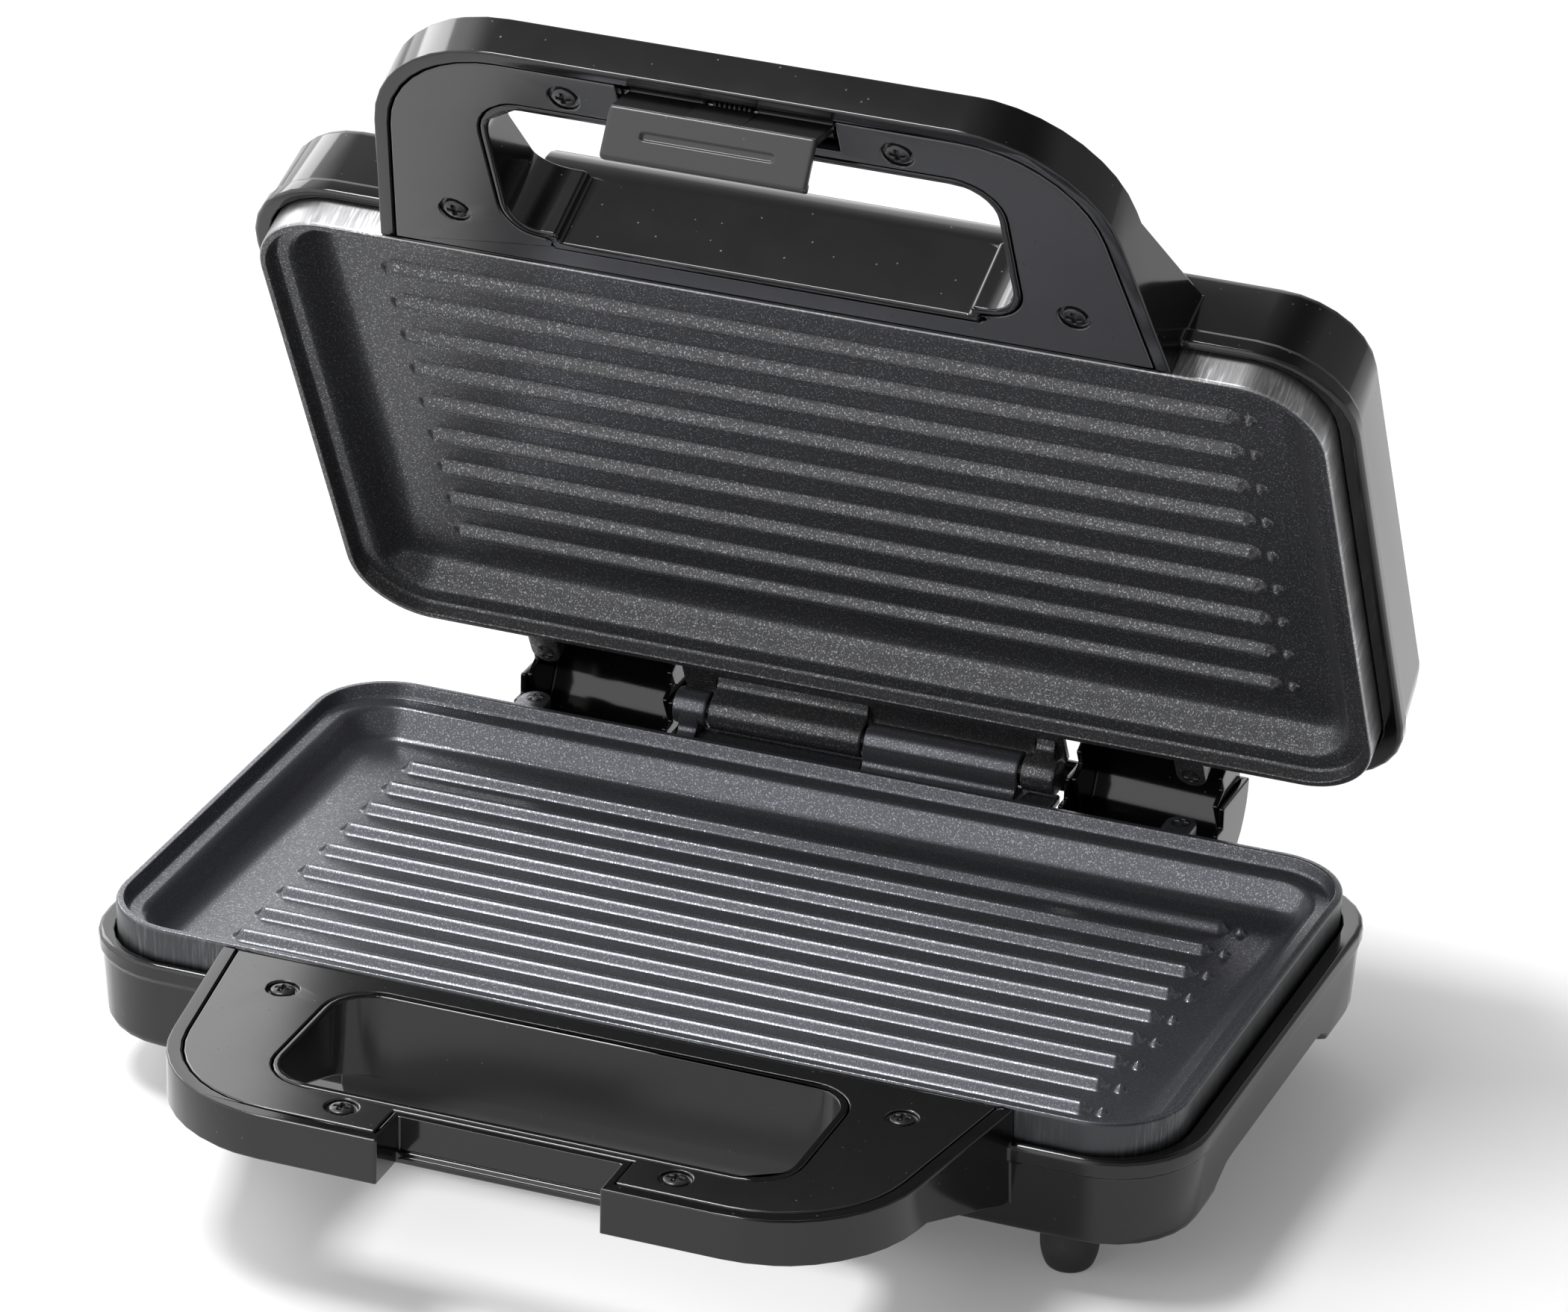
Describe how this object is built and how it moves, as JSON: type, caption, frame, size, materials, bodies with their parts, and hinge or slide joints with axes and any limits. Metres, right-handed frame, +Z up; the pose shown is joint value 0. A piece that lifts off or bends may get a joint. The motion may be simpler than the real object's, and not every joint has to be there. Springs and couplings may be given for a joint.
{
  "type": "panini press",
  "caption": "Hinged contact grill with ribbed cooking plates in black shells, loop handles and a front snap latch, standing open on rubber feet.",
  "frame": {"origin": "on the table under the middle of the outline, as it stands open, midway between the front of the lower handle and the back of the hinge covers", "axes": "+X to the right as seen from the handle, +Y to the rear, towards the hinge, +Z up"},
  "size_m": [0.2926, 0.269, 0.2746],
  "materials": {
    "housing": "polished black",
    "handle_panel": "polished black, a little softer than the housing",
    "cooking_plate": "dark non-stick coating with a fine metallic sparkle",
    "screw": "blackened",
    "foot": "matt",
    "gland": "matt",
    "steel": "bright",
    "shield": "aluminised sheet",
    "heater": "oxidised sheath",
    "ceramic": "off-white ceramic and moulded resin",
    "red_lens": "clear moulded",
    "green_lens": "clear moulded",
    "latch": "satin black"
  },
  "bodies": {
    "base": {"lower_housing": "housing", "lower_plate": "cooking_plate", "lower_handle_panel": "handle_panel", "lower_handle_screw_rear_left": "screw", "lower_handle_screw_rear_right": "screw", "lower_handle_screw_front_left": "screw", "lower_handle_screw_front_right": "screw", "lower_plate_screw_left": "screw", "lower_plate_screw_right": "screw", "lower_heater": "heater", "lower_heat_shield": "shield", "foot_front_left": "foot", "foot_front_right": "foot", "foot_rear_left": "foot", "foot_rear_right": "foot", "thermostat": "ceramic", "thermal_fuse": "ceramic", "terminal_block": "ceramic", "cord_gland": "gland", "hinge_pin": "steel"},
    "lid": {"upper_housing": "housing", "upper_plate": "cooking_plate", "upper_handle_panel": "handle_panel", "upper_handle_screw_rear_left": "screw", "upper_handle_screw_rear_right": "screw", "upper_handle_screw_front_left": "screw", "upper_handle_screw_front_right": "screw", "upper_plate_screw_left": "screw", "upper_plate_screw_right": "screw", "upper_heater": "heater", "upper_heat_shield": "shield", "power_lamp_lens": "red_lens", "ready_lamp_lens": "green_lens", "lamp_holder": "ceramic", "latch_pin": "steel", "latch_spring": "steel"},
    "latch": {"latch": "latch"}
  },
  "joints": [
    {"name": "lid_hinge", "type": "hinge", "parent": "base", "child": "lid", "pos_m": [0, 0.114, 0.048], "axis": [-1, 0, 0], "range_deg": [-62.65, 37.35]},
    {"name": "latch_pivot", "type": "hinge", "parent": "lid", "child": "latch", "pos_m": [0, 0.00957, 0.26165], "axis": [-1, 0, 0], "range_deg": [-8, 14], "stiffness_Nm_per_rad": 0.08}
  ]
}
